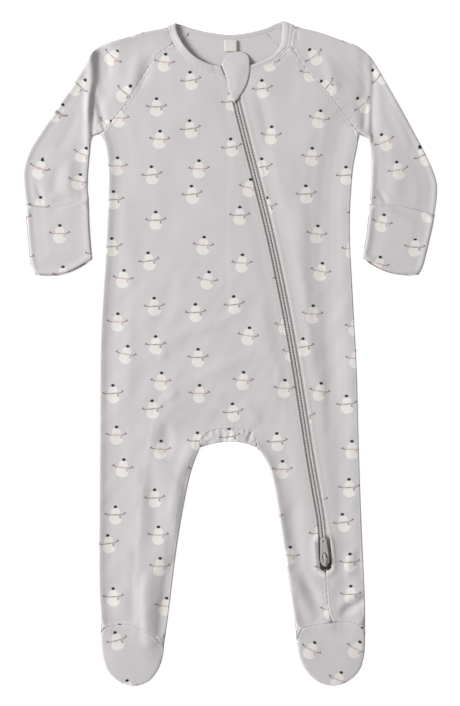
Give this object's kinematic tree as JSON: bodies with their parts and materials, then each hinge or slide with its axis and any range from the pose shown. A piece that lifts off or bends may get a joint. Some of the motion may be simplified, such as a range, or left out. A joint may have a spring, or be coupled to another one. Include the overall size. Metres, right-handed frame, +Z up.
{
  "type": "footed baby sleepsuit",
  "caption": "Baby's footed sleepsuit laid flat, with raglan sleeves, turned-up mitten cuffs, a neckband, and a slanted zip from a chin guard at the neck to one ankle.",
  "frame": {"origin": "on the surface that the suit lies on, under the middle of its outline", "axes": "+X to the viewer's right across the suit, +Y along it towards the neck, +Z up off the surface, out of the front"},
  "size_m": [0.3848, 0.6189, 0.0088],
  "materials": {
    "jersey": "warm grey cotton jersey with a small cream print",
    "label": "pale woven ribbon, bare",
    "zip_tape": "grey woven tape",
    "zip_coil": "grey moulded coil",
    "zip_slider": "grey enamel on die-cast zinc"
  },
  "bodies": {
    "garment": {"back": "jersey", "front_left": "jersey", "front_right": "jersey", "gusset": "jersey", "sleeve_left": "jersey", "sleeve_right": "jersey", "mitten_cuff_left": "jersey", "mitten_cuff_right": "jersey", "neckband": "jersey", "chin_guard": "jersey", "foot_upper_left": "jersey", "foot_upper_right": "jersey", "sole_left": "jersey", "sole_right": "jersey", "label": "label", "zip_tape_left": "zip_tape", "zip_tape_right": "zip_tape", "zip_chain": "zip_coil", "zip_slider": "zip_slider"},
    "pull": {"zip_pull": "zip_slider"}
  },
  "joints": [
    {"name": "pull_swing", "type": "hinge", "parent": "garment", "child": "pull", "pos_m": [0.08809, -0.19423, 0.00695], "axis": [0.997, 0.0779, 0], "range_deg": [0, 170]}
  ]
}
